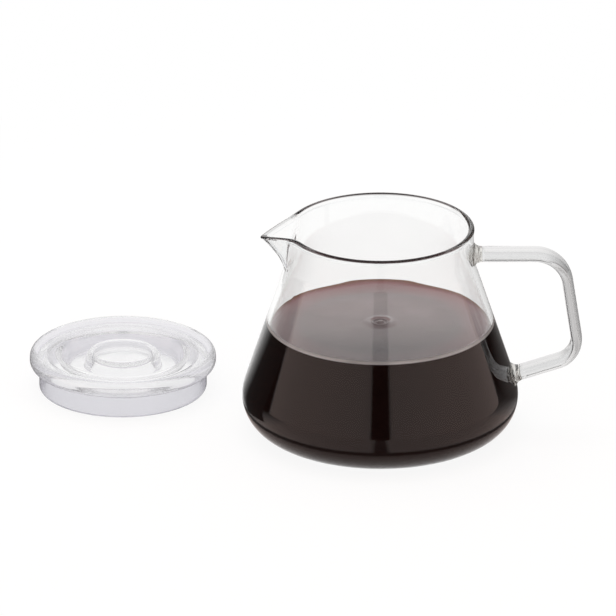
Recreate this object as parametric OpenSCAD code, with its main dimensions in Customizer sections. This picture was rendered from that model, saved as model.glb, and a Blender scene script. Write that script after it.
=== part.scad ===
// Coffee server: a blown glass vessel with a pulled pouring lip, a bent glass handle fused to
// it at two welds, and a pressed glass lid that stands on its skirt beside the vessel.
// The vessel's axis is Z, the table is z = 0, the lip points along -X and the handle along +X.

/* [Vessel] */
// Height of the vessel from the table to the top of the rim
vessel_h = 94; // [88:0.5:104]
// Greatest outer diameter of the vessel, just above the table
body_d = 120; // [112:1:130]
// Outer radius of the rounded corner between the base and the wall
base_corner_r = 16; // [12:0.5:18]
// Outer diameter of the neck
neck_d = 81; // [74:0.5:88]
// Height of the straight neck, from the top of the rim to the shoulder
neck_h = 14; // [12:0.5:18]
// Radius that blends the conical wall into the neck
shoulder_r = 12; // [8:0.5:18]
// Thickness of the blown wall
wall_t = 2.2; // [1.8:0.1:2.8]
// Thickness of the glass under the contents
floor_t = 4; // [3:0.1:5]
// Inner radius of the corner between the floor and the wall
inner_corner_r = 14; // [10:0.5:17]
// Diameter of the fire-polished bead along the rim
rim_bead_d = 2.7; // [2.3:0.1:3.4]

/* [Base] */
// Outer diameter of the flat ring that the vessel stands on
foot_ring_d = 86; // [74:1:88]
// Width of the flat ring that the vessel stands on
foot_ring_w = 7; // [4:0.5:12]
// Height of the hollow under the middle of the base
push_up_h = 1; // [0.4:0.1:1.6]

/* [Lip] */
// Reach of the pouring lip beyond the neck
lip_reach = 11.8; // [8:0.2:13]
// Depth of the lip's tip under the top of the rim
lip_drop = 4.5; // [2:0.25:6]
// Height of the pulled part, from its foot on the shoulder to the rim
lip_h = 19.5; // [17:0.5:21]
// Width of the lip where it leaves the rim
lip_w = 27.5; // [22:0.5:30]
// Width of the lip at its foot on the shoulder
lip_foot_w = 4; // [3:0.5:7]

/* [Handle] */
// Thickness of the bent glass bar, in the plane of its loop
bar_t = 4.8; // [4:0.1:6]
// Width of the bent glass bar, across the plane of its loop
bar_w = 12; // [9:0.5:14]
// Distance along X from the vessel's widest place to the upper corner of the bar's centre line
handle_out = 19.3; // [16:0.5:26]
// Depth of the upper arm's centre line under the top of the rim
handle_drop = 12.8; // [11.5:0.1:14]
// Height of the grip between the corners of the centre line
grip_h = 47; // [42:0.5:50]
// Angle by which the grip leans outward towards its lower end
grip_lean = 8.7; // [4:0.1:12]
// Centre line radius of the upper bend
upper_bend_r = 14.5; // [9:0.5:16]
// Centre line radius of the lower bend
lower_bend_r = 11; // [7:0.5:13]

/* [Welds] */
// Length of the flared weld between the wall and the bar
weld_l = 3.6; // [2.6:0.1:5]
// Height of a weld where it meets the wall
weld_h = 9; // [7:0.25:10]
// Width of a weld where it meets the wall
weld_w = 15; // [13:0.5:17]

/* [Lid] */
// Height of the lid from the lower edge of its skirt to its crest
lid_h = 17.5; // [16:0.25:20]
// Overhang of the lid's flange past the outside of the neck, all round
flange_over = 0.3; // [-0.5:0.1:2]
// Thickness of the flange
flange_t = 7.5; // [6.4:0.1:9]
// Radius of the flange's rounded edges
flange_edge_r = 3.1; // [2:0.1:3.1]
// Play between the skirt and the neck, all round
lid_play = 1.6; // [0.6:0.1:2]
// Thickness of the lid's glass
lid_t = 2.6; // [2.2:0.1:3]
// Width of the raised ring between the recess and the edge of the flange
crest_w = 13.8; // [12.8:0.1:15]
// Depth of the recess below the crest
recess_depth = 7.6; // [6:0.1:8.5]
// Diameter of the round grip that stands in the recess
knob_d = 32; // [28:0.5:33]
// Depth of the knob's top below the crest
knob_drop = 0.8; // [0.4:0.1:2]
// Distance from the vessel's axis to the lid's axis along X, towards the lip's side
lid_apart_x = 112.5; // [108:0.5:140]
// Distance from the vessel's axis to the lid's axis along Y
lid_apart_y = 46; // [30:0.5:60]

/* [Contents] */
// Height of the coffee's surface above the table
coffee_h = 49.2; // [30:0.2:60]
// Play between the coffee and the glass, so that the two solids stay apart
coffee_play = 0.1; // [0.05:0.05:0.2]

/* [Hidden] */
$fn = 96;

glass_colour = [0.86, 0.90, 0.90, 0.45];
weld_colour = [0.62, 0.66, 0.66, 0.6];
coffee_colour = [0.13, 0.07, 0.06];

// Pieces that a rounded corner is cut into
arc_steps = 9;
// Length by which a cut runs past the face that it opens
overrun = 2;
// Least gap that keeps two touching solids apart
fuse_gap = 0.02;

// Radii and places of the vessel's wall
body_r = body_d / 2;
neck_r = neck_d / 2;
neck_bore_r = neck_r - wall_t;
bead_r = rim_bead_d / 2;
shoulder_z = vessel_h - neck_h;
corner_x = body_r - base_corner_r;
shoulder_x = neck_r + shoulder_r;

// The cone touches the base corner's circle from outside and the shoulder's circle from inside:
// its wall leans inward by this angle
lean_run = shoulder_x - corner_x;
lean_rise = shoulder_z - base_corner_r;
lean = atan2(lean_rise, lean_run)
    - acos((shoulder_r + base_corner_r) / norm([lean_run, lean_rise]));
wall_normal = [cos(lean), sin(lean)];
cone_foot = [corner_x, base_corner_r] + base_corner_r * wall_normal;

// Centre of the inner corner: it touches the floor and the inner face of the cone
inner_corner_z = floor_t + inner_corner_r;
inner_corner_x = (cone_foot * wall_normal - wall_t - inner_corner_r
    - inner_corner_z * wall_normal[1]) / wall_normal[0];

// Lip: how the tip is rounded, and how the glass there runs
lip_columns = 16;
lip_rows = 10;
lip_tip_share = 0.16;
lip_width_power = 0.72;
lip_foot_z = vessel_h - lip_h;
lip_top_z = vessel_h - bead_r / 2;
lip_tip_wall_share = 1.4;
lip_side_wall_share = 0.95;
lip_floor_wall_share = 0.9;
lip_root_wall_share = 0.25;
lip_back_wall_share = 0.5;
channel_foot_share = 0.25;
bead_steps = 12;

// Centre line of the handle
upper_corner = [body_r + handle_out, vessel_h - handle_drop];
lower_corner = upper_corner + [grip_h * tan(grip_lean), -grip_h];
upper_turn = 90 - grip_lean;
lower_turn = 90 - lean + grip_lean;
upper_trim = upper_bend_r * tan(upper_turn / 2);
lower_trim = lower_bend_r * tan(lower_turn / 2);
lower_arm_l = (lower_corner - cone_foot) * wall_normal;
lower_root = lower_corner - lower_arm_l * wall_normal;
upper_root = [neck_r, upper_corner[1]];

// Directions of the grip and of the lower arm, turned from +X towards +Z
grip_turn = -upper_turn;
lower_arm_turn = grip_turn - lower_turn;

// Sides of the bar, rings of a weld and how fast a weld flares
bar_steps = 24;
weld_rows = 6;
weld_flare_power = 2.4;
weld_sink = wall_t;

// Lid
flange_r = neck_r + flange_over;
flange_z = lid_h - flange_t;
skirt_r = neck_bore_r - lid_play;
skirt_inner_r = skirt_r - lid_t;
recess_r = flange_r - crest_w;
recess_z = lid_h - recess_depth;
knob_r = knob_d / 2;
knob_z = lid_h - knob_drop;
crest_dish = 0.9;
knob_dish = 0.5;
lid_fillet = 0.8;
recess_slope = 2.2;
knob_slope = 0.8;
lid_edge_r = lid_t + lid_fillet;
knob_edge_r = lid_edge_r - lid_fillet / 2;
skirt_edge_r = lid_t / 2 - fuse_gap;

// Points of an arc about centre c, from angle a0 to angle a1
function arc(c, r, a0, a1) =
    [for (i = [0 : arc_steps]) let (a = a0 + (a1 - a0) * i / arc_steps) c + r * [cos(a), sin(a)]];

// Unit vector from p to q
function unit(p, q) = (q - p) / norm(q - p);

// Vertices [x, y, fillet] turned into an outline whose corners are rounded by their fillets
function rounded(v) = [for (i = [0 : len(v) - 1]) each fillet(
    flat(v[(i + len(v) - 1) % len(v)]), flat(v[i]), flat(v[(i + 1) % len(v)]), v[i][2])];
function flat(v) = [v[0], v[1]];
function fillet(p, q, s, r) =
    r == 0 ? [q] :
    let (
        u = unit(q, p),
        w = unit(q, s),
        half = acos(u * w) / 2,
        c = q + (u + w) / norm(u + w) * r / sin(half),
        from = q + u * r / tan(half) - c,
        to = q + w * r / tan(half) - c,
        a0 = atan2(from[1], from[0]),
        turn = atan2(from[0] * to[1] - from[1] * to[0], from * to)
    )
    [for (i = [0 : arc_steps]) let (a = a0 + turn * i / arc_steps) c + r * [cos(a), sin(a)]];

// Outline of a long round-ended section, t thick along x and w wide along y
function bar_outline(t, w, n) = [for (i = [0 : n - 1])
    let (a = 360 * (i + 0.5) / n)
    [t / 2 * cos(a), t / 2 * sin(a) + sign(sin(a)) * (w - t) / 2]];

// Closed surface through equal rings of points, first ring lowest. Each end is closed by a
// strip of triangles across its ring.
module skin(rings) {
    n = len(rings[0]);
    last = (len(rings) - 1) * n;
    sides = [for (k = [0 : len(rings) - 2], i = [0 : n - 1])
        let (j = (i + 1) % n)
        each [[k * n + i, (k + 1) * n + i, (k + 1) * n + j], [k * n + i, (k + 1) * n + j, k * n + j]]];
    bottom = [for (i = [0 : n / 2 - 2]) each [[i, i + 1, n - 2 - i], [i, n - 2 - i, n - 1 - i]]];
    top = [for (f = bottom) [last + f[2], last + f[1], last + f[0]]];
    polyhedron([for (ring = rings) each ring], concat(bottom, top, sides));
}

// Outer shape of the vessel without its hollow, grown outward by out
module vessel_solid(out) {
    side = concat(
        arc([corner_x, base_corner_r], base_corner_r + out, -90, lean),
        arc([shoulder_x, shoulder_z], shoulder_r - out, 180 + lean, 180));
    rotate_extrude() polygon(concat([[0, -out]], side,
        [[neck_r + out, vessel_h - bead_r], [0, vessel_h - bead_r]]));
}

// Hollow of the vessel, drawn in by inset and filled up to height top
module cavity(inset, top) {
    side = concat(
        arc([inner_corner_x, inner_corner_z], inner_corner_r - inset, -90, lean),
        arc([shoulder_x, shoulder_z], shoulder_r + wall_t + inset, 180 + lean, 180));
    rotate_extrude() polygon(concat([[0, floor_t + inset]], side,
        [[neck_bore_r - inset, top], [0, top]]));
}

// One level of the lip at share t of its height: the front follows a V with a rounded tip and
// the back lies at radius back_r
function lip_v(u) = (norm([u, lip_tip_share]) - lip_tip_share)
    / (norm([1, lip_tip_share]) - lip_tip_share);
function lip_ring(z, drop, tip_x, half_w, root_r, back_r) =
    let (
        across = [for (i = [0 : lip_columns]) 1 - 2 * i / lip_columns],
        root_x = sqrt(root_r * root_r - half_w * half_w)
    )
    concat(
        [for (u = across) let (out = 1 - lip_v(u))
            [-root_x - (tip_x - root_x) * out, u * half_w, z - drop * out]],
        [for (i = [lip_columns : -1 : 0]) let (y = across[i] * half_w)
            [-sqrt(back_r * back_r - y * y), y, z - drop * (1 - lip_v(across[i]))]]);

// Body of the lip from foot_z to top_z, whose tip runs from foot_x to tip_x. A cap above 0 adds
// a straight stretch on top, for a cut.
module lip_loft(foot_z, top_z, drop, foot_x, tip_x, foot_half_w, half_w, root_r, back_r, cap) {
    rings = [for (k = [0 : lip_rows]) let (t = k / lip_rows, s = pow(t, lip_width_power))
        lip_ring(foot_z + (top_z - foot_z) * t, drop * t, foot_x + (tip_x - foot_x) * t,
            foot_half_w + (half_w - foot_half_w) * s, root_r, back_r)];
    cap_ring = [for (p = rings[lip_rows]) p + [0, 0, cap]];
    skin(cap > 0 ? concat(rings, [cap_ring]) : rings);
}

module lip_outer() {
    lip_loft(lip_foot_z, lip_top_z, lip_drop, neck_r, neck_r + lip_reach,
        lip_foot_w / 2, lip_w / 2, neck_r - lip_root_wall_share * wall_t,
        neck_r - lip_back_wall_share * wall_t, 0);
}

module lip_channel() {
    root_r = neck_bore_r - lip_root_wall_share * wall_t;
    lip_loft(lip_foot_z + lip_floor_wall_share * wall_t, lip_top_z, lip_drop,
        root_r, neck_r + lip_reach - lip_tip_wall_share * wall_t,
        channel_foot_share * lip_foot_w, lip_w / 2 - lip_side_wall_share * wall_t,
        root_r, neck_bore_r - wall_t, overrun + lip_drop);
}

// Fire-polished bead along the lip: it leaves the rim's own bead on one side, dips to the tip and
// comes back on the other side
module lip_bead() {
    half_w = lip_w / 2 - lip_side_wall_share * wall_t / 2;
    root_x = sqrt(pow(neck_r - wall_t / 2, 2) - half_w * half_w);
    tip_x = neck_r + lip_reach - lip_tip_wall_share * wall_t / 2;
    line = [for (i = [0 : lip_columns])
        let (u = 2 * i / lip_columns - 1, out = 1 - lip_v(u))
        [-root_x - (tip_x - root_x) * out, u * half_w, vessel_h - bead_r - lip_drop * out]];
    skin([for (i = [0 : lip_columns])
        let (
            run = line[min(i + 1, lip_columns)] - line[max(i - 1, 0)],
            side = [run[1], -run[0], 0] / norm([run[0], run[1]])
        )
        [for (k = [0 : bead_steps - 1]) let (a = 360 * (k + 0.5) / bead_steps)
            line[i] + bead_r * (cos(a) * side + [0, 0, sin(a)])]]);
}

// Shallow hollow under the base, inside the foot ring
module push_up() {
    ring_r = foot_ring_d / 2 - foot_ring_w;
    rotate_extrude() polygon([
        [0, -overrun], [ring_r, -overrun], [ring_r, 0], [ring_r - foot_ring_w, push_up_h],
        [0, push_up_h]]);
}

module carafe_body() {
    color(glass_colour) lip_bead();
    color(glass_colour) difference() {
        union() {
            vessel_solid(0);
            rotate_extrude() translate([neck_r - wall_t / 2, vessel_h - bead_r]) circle(bead_r);
            lip_outer();
        }
        cavity(0, vessel_h + overrun);
        lip_channel();
        push_up();
    }
}

// Stations [x, z, direction] of a bend about centre c: the bar's centre line lies at radius r and
// runs in direction from at its first station and in direction to at its last
function bend(c, r, from, to) = [for (i = [0 : arc_steps])
    let (a = from + (to - from) * i / arc_steps)
    [c[0] - r * sin(a), c[1] + r * cos(a), a]];

// Ring of the bar's section at a station
function bar_ring(s) = [for (q = bar_outline(bar_t, bar_w, bar_steps))
    [s[0] + q[0] * sin(s[2]), q[1], s[1] - q[0] * cos(s[2])]];

// Bar swept along its centre line from the upper weld to the lower one
module handle() {
    upper_end = upper_corner - [upper_trim, 0];
    lower_end = lower_corner - lower_trim * wall_normal;
    start = upper_root + [weld_l, 0];
    finish = lower_root + weld_l * wall_normal;
    stations = concat(
        [[start[0], start[1], 0]],
        bend(upper_end - [0, upper_bend_r], upper_bend_r, 0, grip_turn),
        bend(lower_end + lower_bend_r * [-wall_normal[1], wall_normal[0]], lower_bend_r,
            grip_turn, lower_arm_turn),
        [[finish[0], finish[1], lower_arm_turn]]);
    color(glass_colour) skin([for (s = stations) bar_ring(s)]);
}

// Glass gathered between the wall and the bar: it leaves the wall wide and narrows to the bar.
// It starts at p on the wall and runs along dir, both [x, z] in the handle's plane.
module weld(p, dir) {
    rings = [for (k = [0 : weld_rows])
        let (t = k / weld_rows, s = pow(1 - t, weld_flare_power))
        [for (q = bar_outline(bar_t + (weld_h - bar_t) * s, bar_w + (weld_w - bar_w) * s,
            bar_steps)) [q[0], q[1], weld_l * t]]];
    foot = [for (q = rings[0]) q - [0, 0, weld_sink]];
    difference() {
        translate([p[0], 0, p[1]]) rotate([0, atan2(dir[0], dir[1]), 0]) skin(concat([foot], rings));
        vessel_solid(fuse_gap);
    }
}

module upper_weld() {
    color(weld_colour) weld(upper_root, [1, 0]);
}

module lower_weld() {
    color(weld_colour) weld(lower_root, wall_normal);
}

// Wall of the lid: skirt, rolled flange, dished top with a recess and a knob in its middle
module lid() {
    wall_outline = [
        [skirt_r, 0, skirt_edge_r],
        [skirt_r, flange_z, lid_fillet],
        [flange_r, flange_z, flange_edge_r],
        [flange_r, lid_h, flange_edge_r],
        [recess_r, lid_h - crest_dish, lid_edge_r],
        [recess_r - recess_slope, recess_z, lid_edge_r],
        [knob_r + knob_slope, recess_z, lid_fillet],
        [knob_r, knob_z, knob_edge_r],
        [0, knob_z - knob_dish, 0],
        [0, knob_z - knob_dish - lid_t, 0],
        [knob_r - lid_t, knob_z - lid_t, lid_fillet],
        [knob_r + knob_slope - lid_t, recess_z - lid_t, lid_edge_r],
        [recess_r - recess_slope + lid_t, recess_z - lid_t, lid_edge_r],
        [recess_r + lid_t, lid_h - crest_dish - lid_t, lid_fillet],
        [skirt_inner_r, lid_h - crest_dish - lid_t, lid_fillet],
        [skirt_inner_r, 0, skirt_edge_r]];
    color(glass_colour) translate([-lid_apart_x, lid_apart_y, 0])
        rotate_extrude() polygon(rounded(wall_outline));
}

module coffee() {
    color(coffee_colour) intersection() {
        cavity(coffee_play, vessel_h);
        cylinder(h = coffee_h, r = body_r);
    }
}

carafe_body();
handle();
upper_weld();
lower_weld();
lid();
coffee();
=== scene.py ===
"""Looks of a glass coffee server: a blown vessel with a pulled lip, a bent glass handle fused on
at two welds, a pressed glass lid that stands beside it, and the coffee in it.

Lengths in the classes are millimetres, as the maker would write them, and are turned into
metres when a mesh is made. The vessel's axis is Z, the lip points along -X.
"""

from __future__ import annotations

import logging
import math
from collections.abc import Callable, Mapping, Sequence
from dataclasses import dataclass
from enum import Enum

import bpy
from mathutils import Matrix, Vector

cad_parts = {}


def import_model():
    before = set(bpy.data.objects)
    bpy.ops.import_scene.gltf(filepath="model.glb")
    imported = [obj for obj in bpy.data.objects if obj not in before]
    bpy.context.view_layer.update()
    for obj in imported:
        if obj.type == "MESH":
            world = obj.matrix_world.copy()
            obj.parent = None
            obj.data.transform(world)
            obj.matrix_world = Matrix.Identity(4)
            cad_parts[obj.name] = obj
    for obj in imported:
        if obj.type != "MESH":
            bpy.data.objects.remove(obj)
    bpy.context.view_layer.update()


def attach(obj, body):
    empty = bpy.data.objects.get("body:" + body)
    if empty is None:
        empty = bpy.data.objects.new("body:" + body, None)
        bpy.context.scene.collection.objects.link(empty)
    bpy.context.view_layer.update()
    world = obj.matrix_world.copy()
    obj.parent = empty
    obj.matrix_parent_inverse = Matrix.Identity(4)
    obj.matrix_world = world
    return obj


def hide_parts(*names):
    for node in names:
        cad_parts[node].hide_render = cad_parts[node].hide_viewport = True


LOG = logging.getLogger("coffee_server")
MM = 0.001
GLASS_IOR = 1.47
COFFEE_IOR = 1.33
WHITE = (1.0, 1.0, 1.0)
# An outline's point that is nearer to the axis than this is a pole.
POLE_RADIUS = 1e-6
# Numbers of the Mix node's two colour inputs and of its colour output.
MIX_ENDS = (6, 7)
MIX_RESULT = 2

Point = tuple[float, float]
Place = tuple[float, float, float]
Corner = tuple[float, float, float]
Colour = tuple[float, float, float]
# Both take a radius, an angle and a height of a turned form: one gives the point's place, the
# other how much painted shade the glass has there.
Shape = Callable[[float, float, float], Vector]
Share = Callable[[float, float, float], float]


class Socket:
    """A node's output that takes part in Python arithmetic, adding Math nodes as it goes."""

    def __init__(self, tree: bpy.types.NodeTree, output: bpy.types.NodeSocket) -> None:
        """Wraps one output.

        Args:
            tree: the node tree that the output is in.
            output: the output itself.
        """
        self.tree = tree
        self.output = output

    def maths(self, operation: str, *values: Socket | float, clamp: bool = False) -> Socket:
        """Adds a Math node.

        Args:
            operation: the Math node's operation.
            values: its inputs, in order, as outputs or numbers.
            clamp: whether the result is kept from 0 to 1.

        Returns:
            The node's output.
        """
        settings = {"operation": operation, "use_clamp": clamp}
        return add_node(self.tree, "ShaderNodeMath", settings, dict(enumerate(values)))

    def __add__(self, other: Socket | float) -> Socket:
        """Sum with a value on the right."""
        return self.maths("ADD", self, other)

    def __radd__(self, other: float) -> Socket:
        """Sum with a number on the left."""
        return self.maths("ADD", other, self)

    def __sub__(self, other: Socket | float) -> Socket:
        """Difference with a value on the right."""
        return self.maths("SUBTRACT", self, other)

    def __rsub__(self, other: float) -> Socket:
        """Difference with a number on the left."""
        return self.maths("SUBTRACT", other, self)

    def __mul__(self, other: Socket | float) -> Socket:
        """Product with a value on the right."""
        return self.maths("MULTIPLY", self, other)

    def __rmul__(self, other: float) -> Socket:
        """Product with a number on the left."""
        return self.maths("MULTIPLY", other, self)

    def __abs__(self) -> Socket:
        """Size without sign."""
        return self.maths("ABSOLUTE", self)

    def root(self) -> Socket:
        """Square root."""
        return self.maths("SQRT", self)

    def larger(self, other: Socket | float) -> Socket:
        """The larger of this value and another."""
        return self.maths("MAXIMUM", self, other)

    def part(self, axis: str) -> Socket:
        """One part of a vector, by the letter of its axis."""
        return add_node(self.tree, "ShaderNodeSeparateXYZ", {}, {0: self}, axis)

    def above(self, edge: float, soft: float) -> Socket:
        """Ramps from 0 to 1 across an edge.

        Args:
            edge: the value at the middle of the ramp.
            soft: the ramp's width.

        Returns:
            A value from 0, below the edge, to 1, above it.
        """
        return self.maths("MULTIPLY_ADD", self, 1 / soft, 0.5 - edge / soft, clamp=True)


def new_node(
    tree: bpy.types.NodeTree,
    kind: str,
    settings: Mapping[str, object] | None = None,
    inputs: Mapping[int | str, object] | None = None,
) -> bpy.types.Node:
    """Adds any node: first its settings, then the values or links of its sockets.

    Args:
        tree: the node tree to add it to.
        kind: the node's type.
        settings: properties by name.
        inputs: values or outputs by socket number or name.

    Returns:
        The node.
    """
    node = tree.nodes.new(kind)
    for name, value in (settings or {}).items():
        setattr(node, name, value)
    for name, value in (inputs or {}).items():
        if isinstance(value, Socket):
            tree.links.new(value.output, node.inputs[name])
        else:
            node.inputs[name].default_value = value
    return node


def add_node(
    tree: bpy.types.NodeTree,
    kind: str,
    settings: Mapping[str, object] | None = None,
    inputs: Mapping[int | str, object] | None = None,
    output: int | str = 0,
) -> Socket:
    """Adds a node in the way of new_node, for one of its outputs.

    Args:
        tree: the node tree to add it to.
        kind: the node's type.
        settings: properties by name.
        inputs: values or outputs by socket number or name.
        output: number or name of the output to return.

    Returns:
        The chosen output.
    """
    return Socket(tree, new_node(tree, kind, settings, inputs).outputs[output])


def mix_colours(factor: Socket, low: Socket | Colour, high: Socket | Colour) -> Socket:
    """Mixes two colours with a Mix node.

    Args:
        factor: 0 for the first colour, 1 for the second.
        low: the first colour.
        high: the second colour.

    Returns:
        The mixed colour.
    """
    ends = dict(zip(MIX_ENDS, (low, high)))
    inputs = {k: v if isinstance(v, Socket) else (*v, 1.0) for k, v in ends.items()}
    settings = {"data_type": "RGBA"}
    return add_node(factor.tree, "ShaderNodeMix", settings, {0: factor, **inputs}, MIX_RESULT)


def new_material(name: str) -> tuple[bpy.types.Material, bpy.types.NodeTree]:
    """Makes an empty node material.

    Args:
        name: the material's name.

    Returns:
        The material and its node tree.
    """
    material = bpy.data.materials.new(name)
    material.use_nodes = True
    material.node_tree.nodes.clear()
    return material, material.node_tree


def position(tree: bpy.types.NodeTree) -> Socket:
    """Place on the piece, in metres in the part's own frame."""
    return add_node(tree, "ShaderNodeTexCoord", output="Object")


def stored(tree: bpy.types.NodeTree, name: str, output: str = "Fac") -> Socket:
    """Value that the mesh stores on its points under a name."""
    return add_node(tree, "ShaderNodeAttribute", {"attribute_name": name}, {}, output)


def light_path(tree: bpy.types.NodeTree, kind: str) -> Socket:
    """1 for rays of a kind, such as Camera, and 0 for all others."""
    return add_node(tree, "ShaderNodeLightPath", output=f"Is {kind} Ray")


def noise(place: Socket, size: float, detail: float) -> Socket:
    """Smooth noise around 0.5.

    Args:
        place: the place that it is read at.
        size: how far apart its lumps are, in the place's own unit.
        detail: how many finer layers it has.

    Returns:
        The noise's value.
    """
    inputs = {"Vector": place, "Scale": 1 / size, "Detail": detail}
    return add_node(place.tree, "ShaderNodeTexNoise", {}, inputs, "Fac")


def bump(tree: bpy.types.NodeTree, height: Socket, depth_mm: float) -> Socket:
    """Turns a height from 0 to 1 into a normal.

    Args:
        tree: the node tree to work in.
        height: the height.
        depth_mm: how deep a height of 1 is.

    Returns:
        The bumped normal.
    """
    inputs = {"Height": height, "Distance": depth_mm * MM, "Strength": 1.0}
    return add_node(tree, "ShaderNodeBump", {}, inputs, "Normal")


def surface_out(tree: bpy.types.NodeTree, shader: Socket, owner: str = "Material") -> None:
    """Ends the tree of a material, or of the world, with its surface shader."""
    new_node(tree, f"ShaderNodeOutput{owner}", {}, {"Surface": shader})


@dataclass(frozen=True)
class GlassFinish:
    """Clear glass with the faint ripple of its making, and a painted shade where its bead share is
    high.
    """

    name: str
    tint: Colour
    # Painted shade: the colour that the bead share mixes in, standing in for the dark that the glass
    # refracts.
    painted_shade: Colour
    ripple_mm: float
    ripple_depth_mm: float
    ripple_detail: float = 1.0
    haze: float = 0.0
    haze_least: float = 0.5
    streak_depth: float = 0.015
    streak_size: float = 0.5
    streak_detail: float = 2.0
    streak_middle: float = 0.5
    streak_soft: float = 0.6

    def lumps(self, tree: bpy.types.NodeTree, size_mm: float, detail: float) -> Socket:
        """Noise by place on the piece, from 0 to 1."""
        return noise(position(tree), size_mm * MM, detail)

    def material(self) -> bpy.types.Material:
        """Builds the glass: refraction, a rippled normal, a tint that varies a little and a painted
        shade.

        Returns:
            The material.
        """
        material, tree = new_material(self.name)
        ripple = self.lumps(tree, self.ripple_mm, self.ripple_detail)
        streaks = self.lumps(tree, self.ripple_mm * self.streak_size, self.streak_detail)
        streaks = streaks.above(self.streak_middle, self.streak_soft)
        darker = tuple(c * (1 - self.streak_depth) for c in self.tint)
        clear = mix_colours(streaks, self.tint, darker)
        # The bead share paints shade: it mixes in the painted shade colour.
        bead = stored(tree, "bead") * (1 - streaks * self.streak_depth)
        shader = add_node(tree, "ShaderNodeBsdfPrincipled", {}, {
            "Base Color": mix_colours(bead, clear, self.painted_shade),
            "Roughness": (streaks + self.haze_least) * self.haze,
            "IOR": GLASS_IOR,
            "Transmission Weight": 1.0,
            "Normal": bump(tree, ripple, self.ripple_depth_mm),
        })
        surface_out(tree, shader)
        return material


@dataclass(frozen=True)
class DrawnGlass(GlassFinish):
    """Glass drawn into a bar, whose ripple runs along the bar as fine lines."""

    def lumps(self, tree: bpy.types.NodeTree, size_mm: float, detail: float) -> Socket:
        """Noise by place in the bar's section, from 0 to 1."""
        return noise(stored(tree, "section", "Vector"), size_mm, detail)


@dataclass(frozen=True)
class WettedCoffee:
    """Black coffee against the glass: almost opaque, with painted light at its top where it thins
    out: a pale warm band that stands in for light through the thin coffee.
    """

    name: str
    deep: Colour
    painted_top_light: Colour
    top_light_from_mm: float
    top_light_over_mm: float
    cloud_mm: float = 22.0
    cloud_detail: float = 2.0
    cloud_least: float = 0.4
    roughest: float = 0.3

    def material(self) -> bpy.types.Material:
        """Builds the coffee's colour from its height, with the painted light at its top and faint
        clouds.

        Returns:
            The material.
        """
        material, tree = new_material(self.name)
        place = position(tree)
        clouds = noise(place, self.cloud_mm * MM, self.cloud_detail)
        # Painted light: a pale warm band at the top of the wetted side.
        top_light_share = place.part("Z").above(self.top_light_from_mm * MM, self.top_light_over_mm * MM)
        shader = add_node(tree, "ShaderNodeBsdfPrincipled", {}, {
            "Base Color": mix_colours(top_light_share * (clouds + self.cloud_least), self.deep, self.painted_top_light),
            "Roughness": clouds * self.roughest,
            "IOR": COFFEE_IOR,
            "Specular IOR Level": 0.0,
        })
        surface_out(tree, shader)
        return material


@dataclass(frozen=True)
class CoffeeMirror:
    """The coffee's still surface, with painted light: paler and red-tinged towards the back, where
    light from behind soaks into it, and lighter along its edge.
    """

    name: str
    front: Colour
    back: Colour
    rim: Colour
    rim_light_from_mm: float
    rim_light_over_mm: float
    near_edge_highlight: Colour
    far_edge_light: Colour
    edge_light_from_mm: float
    edge_light_over_mm: float
    film_mm: float
    film_detail: float = 4.0
    film_middle: float = 0.5
    film_soft: float = 0.5
    film_least: float = 0.8
    film_depth: float = 0.4
    roughest: float = 0.03
    back_light_over_mm: float = 60.0
    back_rim_light_over_mm: float = 100.0
    far_edge_light_over_mm: float = 20.0

    def material(self) -> bpy.types.Material:
        """Builds the surface's colour, with its painted light, from its distance to the axis and how
        far back it lies, with a film of oils on it.

        Returns:
            The material.
        """
        material, tree = new_material(self.name)
        place = position(tree)
        x = place.part("X")
        y = place.part("Y")
        out = (x * x + y * y).root()
        film = noise(place, self.film_mm * MM, self.film_detail)
        film = film.above(self.film_middle, self.film_soft)
        # Painted light: paler towards the back, dappled by the film.
        behind = y.above(0.0, self.back_light_over_mm * MM) * (film * self.film_depth + self.film_least)
        flat_painted_light = mix_colours(behind, self.front, self.back)
        # Painted light: a red tinge on the back of the rim.
        rim_light = out.above(self.rim_light_from_mm * MM, self.rim_light_over_mm * MM)
        rim_light = rim_light * y.above(0.0, self.back_rim_light_over_mm * MM)
        flat_painted_light = mix_colours(rim_light, flat_painted_light, self.rim)
        # Painted highlight along the near edge and painted golden light along the far edge.
        far = y.above(0.0, self.far_edge_light_over_mm * MM)
        edge = mix_colours(far, self.near_edge_highlight, self.far_edge_light)
        edge_light_share = out.above(self.edge_light_from_mm * MM, self.edge_light_over_mm * MM)
        shader = add_node(tree, "ShaderNodeBsdfPrincipled", {}, {
            "Base Color": mix_colours(edge_light_share, flat_painted_light, edge),
            "Roughness": film * self.roughest,
            "IOR": COFFEE_IOR,
        })
        surface_out(tree, shader)
        return material


def arc(centre: Point, radius: float, start: float, end: float, steps: int) -> list[Point]:
    """Points of an arc.

    Args:
        centre: its centre.
        radius: its radius.
        start: angle of its first point, in degrees.
        end: angle of its last point, in degrees.
        steps: how many pieces it is cut into.

    Returns:
        The points, steps + 1 of them.
    """
    angles = [math.radians(start + (end - start) * i / steps) for i in range(steps + 1)]
    return [(centre[0] + radius * math.cos(a), centre[1] + radius * math.sin(a)) for a in angles]


def line(start: Point, end: Point, steps: int) -> list[Point]:
    """Points inside a straight stretch, without its ends."""
    shares = [i / steps for i in range(1, steps)]
    return [(start[0] + (end[0] - start[0]) * s, start[1] + (end[1] - start[1]) * s) for s in shares]


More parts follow.
